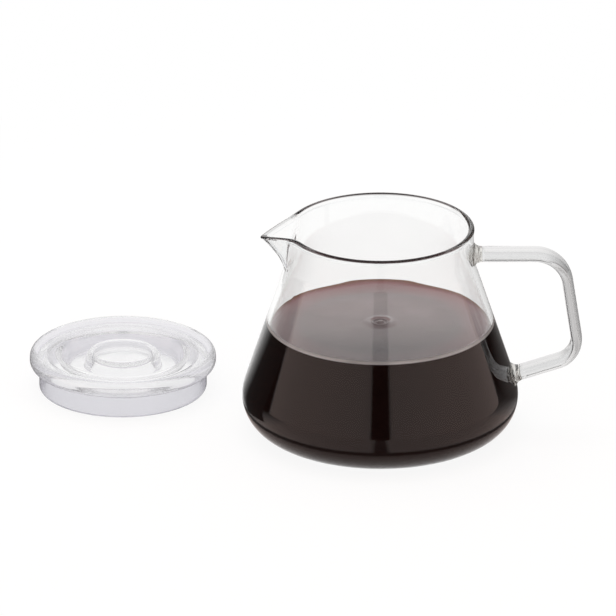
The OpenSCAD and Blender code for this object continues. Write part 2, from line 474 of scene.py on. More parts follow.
def filleted(vertices: Sequence[Corner], steps: int) -> list[Point]:
    """Rounds the corners of an open outline.

    Args:
        vertices: corners as (x, y, fillet radius).
        steps: how many pieces each rounded corner is cut into.

    Returns:
        The outline's points.
    """
    points: list[Point] = []
    for i, (x, y, radius) in enumerate(vertices):
        if radius == 0:
            points.append((x, y))
            continue
        corner = Vector((x, y))
        back = (Vector(vertices[i - 1][:2]) - corner).normalized()
        on = (Vector(vertices[(i + 1) % len(vertices)][:2]) - corner).normalized()
        half = back.angle(on) / 2
        centre = corner + (back + on).normalized() * radius / math.sin(half)
        first = corner + back * radius / math.tan(half) - centre
        last = corner + on * radius / math.tan(half) - centre
        start = math.degrees(math.atan2(first.y, first.x))
        turn = math.degrees(math.atan2(first.x * last.y - first.y * last.x, first.dot(last)))
        points += arc(tuple(centre), radius, start, start + turn, steps)
    return points


def turned(radius: float, angle: float, height: float) -> Vector:
    """Place of a point of a plain turned form, at an angle in radians."""
    return Vector((radius * math.cos(angle), radius * math.sin(angle), height))


def turn_outline(name: str, outline: Sequence[Point], angles: Sequence[float],
                 shape: Shape = turned) -> bpy.types.Object:
    """Turns an outline about Z into a closed mesh.

    Args:
        name: the new object's name.
        outline: (radius, height) pairs in millimetres; a radius of 0 is a pole.
        angles: the columns' angles in degrees, all the way round.
        shape: gives the place of a radius, an angle in radians and a height.

    Returns:
        The object, in metres.
    """
    vertices: list[Vector] = []
    rows: list[list[int]] = []
    for radius, height in outline:
        turns = [0.0] if radius < POLE_RADIUS else [math.radians(a) for a in angles]
        rows.append(list(range(len(vertices), len(vertices) + len(turns))))
        vertices += [shape(radius, a, height) * MM for a in turns]
    count = len(angles)
    faces: list[list[int]] = []
    for low, high in zip(rows, rows[1:]):
        for i in range(count):
            j = (i + 1) % count
            if len(low) == 1 and len(high) == 1:
                continue
            if len(low) == 1:
                faces.append([low[0], high[j], high[i]])
            elif len(high) == 1:
                faces.append([low[i], low[j], high[0]])
            else:
                faces.append([low[i], low[j], high[j], high[i]])
    return make_object(name, vertices, faces)


def make_object(name: str, vertices: Sequence[Vector], faces: Sequence[Sequence[int]],
                ) -> bpy.types.Object:
    """Makes a smooth-shaded mesh object.

    Args:
        name: the new object's name.
        vertices: its points in metres.
        faces: its faces as indices into the points, each wound as seen from outside.

    Returns:
        The object, linked to the scene.
    """
    mesh = bpy.data.meshes.new(name)
    mesh.from_pydata([tuple(v) for v in vertices], [], [list(f) for f in faces])
    mesh.validate()
    mesh.polygons.foreach_set("use_smooth", [True] * len(mesh.polygons))
    item = bpy.data.objects.new(name, mesh)
    bpy.context.scene.collection.objects.link(item)
    return item


def ring_faces(first: int, rings: int, around: int) -> list[list[int]]:
    """Faces of a tube made of rings of points.

    Args:
        first: index of the first ring's first point.
        rings: how many rings it has.
        around: how many points each ring has.

    Returns:
        The faces as indices into the points.
    """
    faces: list[list[int]] = []
    for start in range(first, first + (rings - 1) * around, around):
        for i in range(around):
            j = (i + 1) % around
            faces.append([start + i, start + j, start + around + j, start + around + i])
    return faces


def neighbours(points: Sequence[Vector]) -> list[tuple[Vector, Vector, Vector]]:
    """Each point of a line between the ones before and after it; the ends stand in for those."""
    return list(zip([points[0], *points], points, [*points[1:], points[-1]]))


def all_round(columns: int) -> list[float]:
    """Angles of evenly spaced columns, in degrees."""
    return [360 * i / columns for i in range(columns)]


def store(piece: bpy.types.Object, name: str, values: Sequence[float]) -> None:
    """Stores a number on each point of a piece, for its material to read."""
    piece.data.attributes.new(name, "FLOAT", "POINT").data.foreach_set("value", values)


def shade_turned(piece: bpy.types.Object, outline: Sequence[Point], angles: Sequence[float],
                 share: Share) -> None:
    """Stores how much painted shade the glass has on each point of a turned mesh, as its bead share.

    Args:
        piece: the turned mesh.
        outline: the outline that was turned.
        angles: the angles that it was turned through, in degrees.
        share: 0 for clear to 1 for the darkest painted shade, at a radius, an angle in degrees and a
            height.
    """
    values = [share(radius, angle, height) for radius, height in outline
              for angle in (angles[:1] if radius < POLE_RADIUS else angles)]
    store(piece, "bead", values)


def smooth_step(share: float) -> float:
    """Eases a share of a way in and out, held between 0 and 1."""
    held = min(max(share, 0.0), 1.0)
    return held * held * (3 - 2 * held)


def smooth_max(a: float, b: float, blend: float) -> float:
    """The larger of two values, with a round blend where they are close.

    Args:
        a: one value.
        b: the other value.
        blend: how close they are where the blend begins.

    Returns:
        The blended value.
    """
    if blend <= 0:
        return max(a, b)
    near = max(blend - abs(a - b), 0) / blend
    return max(a, b) + near * near * blend / 4


@dataclass
class Vessel:
    """The blown vessel with its pulled lip. Lengths in millimetres, angles in degrees."""

    # Body, neck and wall
    height: float = 94.0
    body_d: float = 120.0
    corner_r: float = 16.0
    neck_d: float = 81.0
    neck_h: float = 14.0
    shoulder_r: float = 12.0
    bend_run: float = 12.0
    wall: float = 2.2
    floor: float = 4.0
    inner_corner_r: float = 14.0
    bead_d: float = 2.7
    # Foot, which stands on a ring around its push-up
    foot_ring_d: float = 86.0
    foot_ring_w: float = 7.0
    foot_edge_w: float = 1.5
    foot_edge_h: float = 0.15
    foot_flat_w: float = 2.0
    push_up: float = 1.0
    # Lip, pulled out of the neck
    lip_reach: float = 11.8
    lip_drop: float = 4.5
    lip_h: float = 19.5
    lip_w: float = 27.5
    lip_foot_w: float = 4.0
    lip_tip_r: float = 1.3
    lip_blend: float = 2.6
    lip_width_power: float = 0.72
    lip_spread: float = 1.5
    # Painted shade on the rim, a dark line standing in for the dark that the rim refracts: down to
    # which depth, and where along it the dark dies out
    bead_dark_h: float = 0.95
    bead_dark_back_h: float = 1.6
    bead_back_from: float = 0.1
    bead_back_over: float = 0.3
    bead_dark_in: float = 0.9
    bead_pale: float = 0.15
    bead_pale_to: float = 22.0
    bead_pale_over: float = 12.0
    lip_pale: float = 0.35
    lip_pale_from: float = 155.0
    lip_pale_over: float = 8.0
    lip_dark_from: float = 178.0
    lip_dark_over: float = 2.0
    # How finely the mesh is cut
    floor_rings: tuple[float, ...] = (0.66, 0.33)
    arc_steps: int = 18
    bend_steps: int = 24
    bead_steps: int = 20
    cone_steps: int = 24
    neck_steps: int = 14
    lip_columns: int = 36
    lip_column: float = 0.75
    other_columns: int = 116

    def __post_init__(self) -> None:
        """Works out the lean of the cone, which touches the corner's and the shoulder's arcs."""
        self.neck_r = self.neck_d / 2
        self.corner_x = self.body_d / 2 - self.corner_r
        run = self.neck_r + self.shoulder_r - self.corner_x
        rise = self.height - self.neck_h - self.corner_r
        bite = math.acos((self.shoulder_r + self.corner_r) / math.hypot(run, rise))
        self.lean = math.degrees(math.atan2(rise, run) - bite)
        self.normal = Vector((math.cos(math.radians(self.lean)), math.sin(math.radians(self.lean))))
        self.cone_foot = Vector((self.corner_x, self.corner_r)) + self.corner_r * self.normal
        self.outer_bend = self.shoulder(0.0)

    def shoulder(self, inset: float) -> list[Point]:
        """Bend from the cone to the neck, which sets in and dies out softly.

        Args:
            inset: how far inside the outer face, square to it.

        Returns:
            Its points, from the cone up.
        """
        lean = math.radians(self.lean)
        shares = [i / self.bend_steps for i in range(self.bend_steps + 1)]
        headings = [lean * (1 - smooth_step(s)) for s in shares]
        spots = [Vector((0.0, 0.0))]
        for low, high in zip(headings, headings[1:]):
            heading = (low + high) / 2
            step = self.bend_run / self.bend_steps
            spots.append(spots[-1] + step * Vector((-math.sin(heading), math.cos(heading))))
        up = Vector((-self.normal.y, self.normal.x))
        corner = self.cone_foot + up * ((self.cone_foot.x - self.neck_r) / self.normal.y)
        foot = corner - up * (spots[-1].length / 2 / math.cos(lean / 2))
        return [tuple(foot + spot - inset * Vector((math.cos(heading), math.sin(heading))))
                for spot, heading in zip(spots, headings)]

    def outer_radius(self, height: float) -> float:
        """Radius of the outer wall at a height above the base.

        Args:
            height: the height.

        Returns:
            The radius.
        """
        if height >= self.outer_bend[-1][1]:
            return self.neck_r
        for low, high in zip(self.outer_bend, self.outer_bend[1:]):
            if low[1] <= height < high[1]:
                share = (height - low[1]) / (high[1] - low[1])
                return low[0] + (high[0] - low[0]) * share
        if height >= self.cone_foot.y:
            return self.cone_foot.x - (height - self.cone_foot.y) * self.normal.y / self.normal.x
        rise = self.corner_r - height
        return self.corner_x + math.sqrt(max(self.corner_r**2 - rise**2, 0.0))

    def hollow_side(self, inset: float) -> list[Point]:
        """Side of the hollow, from the floor's edge to the neck.

        Args:
            inset: how far it is drawn in, square to the wall.

        Returns:
            Its points, from the floor up.
        """
        corner_z = self.floor + self.inner_corner_r
        reach = self.cone_foot.dot(self.normal) - self.wall - self.inner_corner_r
        corner_x = (reach - corner_z * self.normal.y) / self.normal.x
        low = arc((corner_x, corner_z), self.inner_corner_r - inset, -90, self.lean, self.arc_steps)
        high = self.shoulder(self.wall + inset)
        return low + line(low[-1], high[0], self.cone_steps) + high

    def outline(self) -> list[Point]:
        """Outline of the glass, from the middle of the base up the outside and down the inside.

        Returns:
            Its points.
        """
        ring_r = self.foot_ring_d / 2 - self.foot_ring_w
        low = arc((self.corner_x, self.corner_r), self.corner_r, -90, self.lean, self.arc_steps)
        high = self.outer_bend
        bead_r = self.bead_d / 2
        bead_c = (self.neck_r - self.wall / 2, self.height - bead_r)
        tuck = math.degrees(math.acos(self.wall / 2 / bead_r))
        bead = arc(bead_c, bead_r, -tuck, 180 + tuck, self.bead_steps)
        base = [
            (0.0, self.push_up),
            (ring_r / 2, self.push_up),
            (ring_r - self.foot_ring_w, self.push_up),
            (ring_r - self.foot_edge_w, self.foot_edge_h),
            (ring_r, 0.0),
            (ring_r + self.foot_flat_w, 0.0),
        ]
        inside = list(reversed(self.hollow_side(0.0)))
        floor = [(inside[-1][0] * share, self.floor) for share in (*self.floor_rings, 0.0)]
        cone = line(low[-1], high[0], self.cone_steps)
        neck_out = line(high[-1], bead[0], self.neck_steps)
        neck_in = line(bead[-1], inside[0], self.neck_steps)
        return base + low + cone + high + neck_out + bead + neck_in + inside + floor

    def pulled(self, radius: float, angle: float, height: float) -> Vector:
        """Pulls the glass of the neck out into the lip.

        Args:
            radius: the point's radius in the turned vessel.
            angle: its angle about the axis, in radians.
            height: its height.

        Returns:
            The point after the lip is pulled.
        """
        foot = self.height - self.lip_h
        x = -radius * math.cos(angle)
        y = radius * math.sin(angle)
        if height <= foot or x <= 0:
            return Vector((-x, y, height))
        rise = min((height - foot) / self.lip_h, 1.0)
        wall_r = self.outer_radius(min(height, self.height))
        half_w = (self.lip_foot_w + (self.lip_w - self.lip_foot_w) * rise**self.lip_width_power) / 2
        if abs(y) > half_w * self.lip_spread:
            return Vector((-x, y, height))
        root_x = math.sqrt(wall_r**2 - half_w**2)
        reach = self.lip_reach * rise
        slope = (wall_r + reach - root_x) / half_w
        depth = (wall_r - radius) * math.hypot(1, slope)
        side = math.hypot(y, self.lip_tip_r) - self.lip_tip_r
        out = smooth_max(x, wall_r + reach - depth - slope * side, self.lip_blend * rise)
        share = min((out - x) / self.lip_reach, 1.0)
        return Vector((-out, y, height - self.lip_drop * share * rise))

    def painted_shade_share(self, radius: float, angle: float, height: float) -> float:
        """How much painted shade the rim has at a point: pale by the handle and along half of the
        lip.

        Args:
            radius: the point's radius in the turned vessel.
            angle: its angle about the axis, in degrees.
            height: its height.

        Returns:
            0 for clear glass to 1 for the darkest.
        """
        side = (angle + 180) % 360 - 180
        back = (math.sin(math.radians(side)) - self.bead_back_from) / self.bead_back_over
        depth = self.bead_dark_h + (self.bead_dark_back_h - self.bead_dark_h) * smooth_step(back)
        rim_r = self.neck_r - self.wall / 2 - self.bead_dark_in
        if radius <= rim_r or height <= self.height - depth:
            return 0.0
        by_handle = 1 - smooth_step((abs(side) - self.bead_pale_to) / self.bead_pale_over)
        on_lip = smooth_step((side - self.lip_pale_from) / self.lip_pale_over)
        past_tip = smooth_step((side - self.lip_dark_from) / self.lip_dark_over)
        by_lip = on_lip * (1 - past_tip)
        return 1 - (1 - self.bead_pale) * by_handle - (1 - self.lip_pale) * by_lip

    def build(self, glass: GlassFinish) -> bpy.types.Object:
        """Builds and dresses the vessel.

        Args:
            glass: its finish.

        Returns:
            The vessel, riding on its body.
        """
        beside_lip = range(-self.lip_columns, self.lip_columns + 1)
        fine = [180 + self.lip_column * i for i in beside_lip]
        gap = 360 - (fine[-1] - fine[0])
        coarse = [fine[-1] + gap * i / self.other_columns for i in range(1, self.other_columns)]
        outline = self.outline()
        angles = fine + coarse
        piece = turn_outline("carafe_vessel", outline, angles, self.pulled)
        # Paints a dark shade line along the rim.
        shade_turned(piece, outline, angles, self.painted_shade_share)
        piece.data.materials.append(glass.material())
        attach(piece, "carafe")
        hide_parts("carafe_body")
        return piece


@dataclass
class Handle:
    """The bent glass bar and its two welds. Lengths in millimetres, angles in degrees."""

    vessel: Vessel
    # Bar
    bar_t: float = 4.8
    bar_w: float = 12.0
    out: float = 19.3
    drop: float = 12.8
    grip_h: float = 47.0
    grip_lean: float = 8.7
    upper_bend_r: float = 14.5
    lower_bend_r: float = 11.0
    roundness: float = 2.7
    # Welds
    weld_l: float = 3.6
    weld_h: float = 9.0
    weld_w: float = 15.0
    weld_flare: float = 2.4
    weld_gap: float = 0.02
    # Painted shade: grey of the grip and dark of the welds
    grip_from: float = 0.3
    grip_inner: float = 0.12
    grip_clear_from: float = -0.25
    grip_clear_over: float = 0.9
    weld_shade_reach: float = 0.45
    weld_foot_painted_shade: float = 0.3
    # How finely the meshes are cut
    around: int = 40
    bend_steps: int = 16
    step_l: float = 1.5
    weld_rings: int = 12
    weld_foot_rings: tuple[float, ...] = (0.25, 0.5, 0.75)
    seat_tries: int = 12

    def __post_init__(self) -> None:
        """Works out the corners of the centre line and where it meets the wall."""
        lean = math.tan(math.radians(self.grip_lean))
        self.upper = Vector((self.vessel.body_d / 2 + self.out, self.vessel.height - self.drop))
        self.lower = self.upper + Vector((self.grip_h * lean, -self.grip_h))
        arm = (self.lower - self.vessel.cone_foot).dot(self.vessel.normal)
        self.lower_root = self.lower - arm * self.vessel.normal
        self.upper_root = Vector((self.vessel.neck_r, self.upper.y))

    def section(self, thick: float, wide: float) -> list[Point]:
        """Section of the bar as (across the loop's line, across its plane) pairs.

        Args:
            thick: its size across the loop's line.
            wide: its size across the loop's plane.

        Returns:
            Its points, anticlockwise.
        """
        power = 2 / self.roundness
        points: list[Point] = []
        for i in range(self.around):
            a = 2 * math.pi * (i + 0.5) / self.around
            c, s = math.cos(a), math.sin(a)
            points.append((math.copysign(abs(c) ** power, c) * thick / 2,
                           math.copysign(abs(s) ** power, s) * wide / 2))
        return points

    def centre_line(self) -> list[Vector]:
        """Centre line of the bar in its own plane.

        Returns:
            Its points, from the upper to the lower weld.
        """
        normal = self.vessel.normal
        path = filleted([
            (self.upper_root.x + self.weld_l, self.upper_root.y, 0.0),
            (self.upper.x, self.upper.y, self.upper_bend_r),
            (self.lower.x, self.lower.y, self.lower_bend_r),
            (*(self.lower_root + self.weld_l * normal), 0.0),
        ], self.bend_steps)
        points: list[Vector] = []
        for start, end in zip(path, path[1:]):
            steps = max(int(math.dist(start, end) / self.step_l), 1)
            points += [Vector(start)] + [Vector(p) for p in line(start, end, steps)]
        return points + [Vector(path[-1])]

    def sweep(self, name: str, centres: Sequence[Vector], section: Sequence[Point],
              ) -> bpy.types.Object:
        """Sweeps a section along a line in the handle's plane.

        Args:
            name: the new object's name.
            centres: points of the line.
            section: the section's points.

        Returns:
            The closed tube, in metres.
        """
        vertices: list[Vector] = []
        for before, centre, after in neighbours(centres):
            run = (after - before).normalized()
            side = Vector((run.y, -run.x))
            for across, wide in section:
                spot = centre + side * across
                vertices.append(Vector((spot.x, wide, spot.y)) * MM)
        n = self.around
        faces = ring_faces(0, len(centres), n)
        last = (len(centres) - 1) * n
        faces.append(list(range(n - 1, -1, -1)))
        faces.append(list(range(last, last + n)))
        return make_object(name, vertices, faces)

    def grip_painted_shade(self, inward: float) -> float:
        """How much painted grey shade the grip has across the bar, from -1 at its outer to 1 at its
        inner face.
        """
        clearing = smooth_step((inward - self.grip_clear_from) / self.grip_clear_over)
        return 1 - (1 - self.grip_inner) * clearing

    def build_bar(self, glass: GlassFinish) -> bpy.types.Object:
        """Builds and dresses the bent bar, with a painted grey shade along its grip.

        Args:
            glass: its finish.

        Returns:
            The bar, riding on its body.
        """
        centres = self.centre_line()
        section = self.section(self.bar_t, self.bar_w)
        piece = self.sweep("handle_bar", centres, section)
        places = [part for _ in centres for across, wide in section for part in (across, wide, 0.0)]
        attribute = piece.data.attributes.new("section", "FLOAT_VECTOR", "POINT")
        attribute.data.foreach_set("vector", places)
        # Painted grey shade along the grip, clearer on its inner face, standing in for the dark that
        # the bar refracts.
        painted_greys = [self.grip_painted_shade(2 * across / self.bar_t) for across, _ in section]
        grip: list[float] = []
        for before, _, after in neighbours(centres):
            upright = abs((after - before).normalized().y)
            share = (upright - self.grip_from) / (1 - self.grip_from)
            grip += [smooth_step(share) * grey for grey in painted_greys]
        store(piece, "bead", grip)
        self.dress(piece, "handle", glass)
        return piece

    def weld_mesh(self, name: str, root: Vector, run: Vector) -> bpy.types.Object:
        """Makes a weld's mesh: it leaves the wall wide and narrows to the bar.

        Args:
            name: the new object's name.
            root: where its centre line meets the wall.
            run: the line's direction away from the wall.

        Returns:
            The closed mesh, in metres.
        """
        vertices: list[Vector] = []
        side = Vector((run.y, -run.x))

        def on_wall(across: float, wide: float) -> float:
            """Finds how far along the line a point lies just outside the wall.

            Args:
                across: its place in the section across the handle's line.
                wide: its place across the handle's plane.

            Returns:
                The distance from the line's root.
            """
            along = 0.0
            for _ in range(self.seat_tries):
                spot = root + side * across + run * along
                radius = math.hypot(spot.x, wide)
                along -= (radius - self.vessel.outer_radius(spot.y) - self.weld_gap) * run.x
            return along

        def put(across: float, wide: float, along: float) -> None:
            """Adds a point."""
            spot = root + side * across + run * along
            vertices.append(Vector((spot.x, wide, spot.y)) * MM)

        put(0.0, 0.0, on_wall(0.0, 0.0))
        for share in self.weld_foot_rings:
            for across, wide in self.section(self.weld_h * share, self.weld_w * share):
                put(across, wide, on_wall(across, wide))
        for k in range(self.weld_rings + 1):
            t = k / self.weld_rings
            s = (1 - t) ** self.weld_flare
            section = self.section(self.bar_t + (self.weld_h - self.bar_t) * s,
                                   self.bar_w + (self.weld_w - self.bar_w) * s)
            for across, wide in section:
                start = on_wall(across, wide)
                put(across, wide, start + (self.weld_l - self.weld_gap - start) * t)
        n = self.around
        rings = len(self.weld_foot_rings) + self.weld_rings + 1
        faces = [[0, 1 + (i + 1) % n, 1 + i] for i in range(n)]
        faces += ring_faces(1, rings, n)
        faces.append(list(range(1 + (rings - 1) * n, 1 + rings * n)))
        return make_object(name, vertices, faces)

    def build_weld(self, name: str, node: str, root: Vector, run: Vector, glass: GlassFinish,
                   ) -> bpy.types.Object:
        """Builds and dresses one weld, with a painted shade that is darkest where it meets the wall.

        Args:
            name: the new object's name.
            node: the solid that it stands for.
            root: where its centre line meets the wall.
            run: the line's direction away from the wall.
            glass: its finish.

        Returns:
            The weld, riding on its body.
        """
        piece = self.weld_mesh(name, root, run)
        # Painted shade on the weld: lighter on its foot against the wall, darkest where it leaves
        # the wall and fading out along it.
        dark = [self.weld_foot_painted_shade] * (1 + len(self.weld_foot_rings) * self.around)
        for k in range(self.weld_rings + 1):
            dark += [max(1 - k / self.weld_rings / self.weld_shade_reach, 0.0)] * self.around
        store(piece, "bead", dark)
        self.dress(piece, node, glass)
        return piece

    def dress(self, piece: bpy.types.Object, node: str, glass: GlassFinish) -> None:
        """Gives a piece of the handle its finish, its body and its solid.

        Args:
            piece: the piece.
            node: the solid that it stands for.
            glass: its finish.
        """
        piece.data.materials.append(glass.material())
        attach(piece, "carafe")
        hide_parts(node)


@dataclass
class Lid:
    """The pressed glass lid, standing on its skirt. Lengths in millimetres."""

    vessel: Vessel
    height: float = 17.5
    flange_over: float = 0.3
    flange_t: float = 7.5
    edge_r: float = 3.1
    play: float = 1.6
    wall: float = 2.6
    crest_w: float = 13.8
    recess_depth: float = 7.6
    knob_d: float = 32.0
    knob_drop: float = 0.8
    apart: Point = (-112.5, 46.0)
    crest_dish: float = 0.9
    knob_dish: float = 0.5
    fillet: float = 0.8
    recess_slope: float = 2.2
    # Share of the painted grey shade on the flange, where the skirt has it in full.
    flange_painted_shade: float = 0.8
    knob_slope: float = 0.8
    foot_flat: float = 0.02
    fillet_steps: int = 10
    columns: int = 160

    def __post_init__(self) -> None:
        """Works out the skirt, which hangs free inside the neck when the lid is on."""
        self.skirt_r = self.vessel.neck_r - self.vessel.wall - self.play

    def outline(self) -> list[Point]:
        """Outline of the lid's glass.

        Returns:
            Its points, from the middle of its underside over the rim to the middle of its top.
        """
        inner_r = self.skirt_r - self.wall
        flange_r = self.vessel.neck_r + self.flange_over
        recess_r = flange_r - self.crest_w
        recess_z = self.height - self.recess_depth
        knob_r = self.knob_d / 2
        knob_z = self.height - self.knob_drop
        dished_z = self.height - self.crest_dish
        round_r = self.wall + self.fillet
        wall = self.wall
        foot_r = wall / 2 - self.foot_flat
        top = [
            (0.0, knob_z - self.knob_dish, 0.0),
            (knob_r, knob_z, round_r - self.fillet / 2),
            (knob_r + self.knob_slope, recess_z, self.fillet),
            (recess_r - self.recess_slope, recess_z, round_r),
            (recess_r, dished_z, round_r),
            (flange_r, self.height, self.edge_r),
            (flange_r, self.height - self.flange_t, self.edge_r),
            (self.skirt_r, self.height - self.flange_t, self.fillet),
            (self.skirt_r, 0.0, foot_r),
            (inner_r, 0.0, foot_r),
            (inner_r, dished_z - wall, self.fillet),
            (recess_r + wall, dished_z - wall, self.fillet),
            (recess_r - self.recess_slope + wall, recess_z - wall, round_r),
            (knob_r + self.knob_slope - wall, recess_z - wall, round_r),
            (knob_r - wall, knob_z - wall, self.fillet),
            (0.0, knob_z - self.knob_dish - wall, 0.0),
        ]
        return list(reversed(filleted(top, self.fillet_steps)))

    def place(self, radius: float, angle: float, height: float) -> Vector:
        """Point of the lid where it stands beside the vessel."""
        return Vector((self.apart[0] + radius * math.cos(angle),
                       self.apart[1] + radius * math.sin(angle), height))

    def painted_shade_share(self, radius: float, _angle: float, height: float) -> float:
        """How much painted grey shade the pressed glass has at a point: more down the flange, fully
        on the skirt.

        Args:
            radius: the point's radius from the lid's own axis.
            _angle: its angle, of no effect since the lid is the same all round.
            height: its height.

        Returns:
            0 for clear glass to 1 for the greyest.
        """
        if radius <= self.skirt_r - self.wall / 2:
            return 0.0
        share = min(max((self.height - height) / self.flange_t, 0.0), 1.0)
        return share if share == 1.0 else share * self.flange_painted_shade

    def build(self, glass: GlassFinish) -> bpy.types.Object:
        """Builds and dresses the lid.

        Args:
            glass: its finish.

        Returns:
            The lid, riding on its body.
        """
        outline = self.outline()
        angles = all_round(self.columns)
        piece = turn_outline("lid_glass", outline, angles, self.place)
        # Paints a grey shade on the flange and the skirt.
        shade_turned(piece, outline, angles, self.painted_shade_share)
        piece.data.materials.append(glass.material())
        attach(piece, "lid")
        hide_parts("lid")
        return piece


@dataclass
class Coffee:
    """The coffee in the vessel, with its meniscus and one bubble. Lengths in millimetres."""

    vessel: Vessel
    level: float = 49.2
    bite: float = 0.15
    meniscus_h: float = 1.2
    meniscus_w: float = 3.0
    bubble_r: float = 1.9
    bubble_h: float = 0.9
    foam_r: float = 4.2
    foam_w: float = 1.5
    foam_h: float = 0.5
    meniscus_power: int = 3
    surface_rings: tuple[float, ...] = (0.8, 0.6, 0.4, 0.2)
    curve_steps: int = 10
    bubble_steps: int = 6
    columns: int = 160

    def wetted(self) -> list[Point]:
        """Outline of the wetted side.

        Returns:
            Its points, from the middle of the floor to the contact line.
        """
        top = self.level + self.meniscus_h
        side = [p for p in self.vessel.hollow_side(-self.bite) if p[1] < top]
        wall = (self.vessel.wall - self.bite) / self.vessel.normal.x
        contact = (self.vessel.outer_radius(top) - wall, top)
        floor_z = self.vessel.floor - self.bite
        return [(0.0, floor_z), (side[0][0] / 2, floor_z), *side, contact]

    def surface(self, edge_r: float) -> list[Point]:
        """Outline of the free surface.

        Args:
            edge_r: radius of the contact line.

        Returns:
            Its points, from inside the contact line to the middle of the bubble.
        """
        shares = [i / self.curve_steps for i in range(self.curve_steps + 1)]
        curve = [(edge_r - self.meniscus_w * share,
                  self.level + self.meniscus_h * (1 - share) ** self.meniscus_power)
                 for share in shares[1:]]
        rings = [(curve[-1][0] * share, self.level) for share in self.surface_rings]
        foam = [(self.foam_r - self.foam_w * share,
                 self.level + self.foam_h * math.sin(math.pi * share)) for share in shares]
        across = [1 - i / self.bubble_steps for i in range(self.bubble_steps + 1)]
        bubble = [(self.bubble_r * share, self.level + self.bubble_h * math.sqrt(1 - share**2))
                  for share in across]
        return curve + rings + foam + bubble

    def build(self, wet: WettedCoffee, free: CoffeeMirror) -> bpy.types.Object:
        """Builds and dresses the coffee.

        Args:
            wet: the finish of its wetted side.
            free: the finish of its free surface.

        Returns:
            The coffee, riding on its body.
        """
        side = self.wetted()
        outline = side + self.surface(side[-1][0])
        piece = turn_outline("coffee_fill", outline, all_round(self.columns))
        piece.data.materials.append(wet.material())
        piece.data.materials.append(free.material())
        wet_faces = self.columns * (len(side) - 1)
        for face in piece.data.polygons[wet_faces:]:
            face.material_index = 1
        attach(piece, "carafe")
        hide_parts("coffee")
        return piece


class Side(Enum):
    """Which side of the camera a soft panel stands on."""

    LEFT = -1
    RIGHT = 1


@dataclass(frozen=True)
class Panel:
    """A bright panel of the studio, seen only in reflections. Angles from the camera's azimuth."""

    side: Side
    start: float
    end: float


@dataclass(frozen=True)
class Card:
    """An upright card that keeps a mirror image off the vessel's wall. Lengths in millimetres.

    It is dark towards the camera and glows away from it, like the backdrop that it hides.
    """

    name: str
    start: Point
    end: Point
    bottom: float
    top: float
    near_glow: float
    far_glow: float
    bright_at: float
    bright_over: float


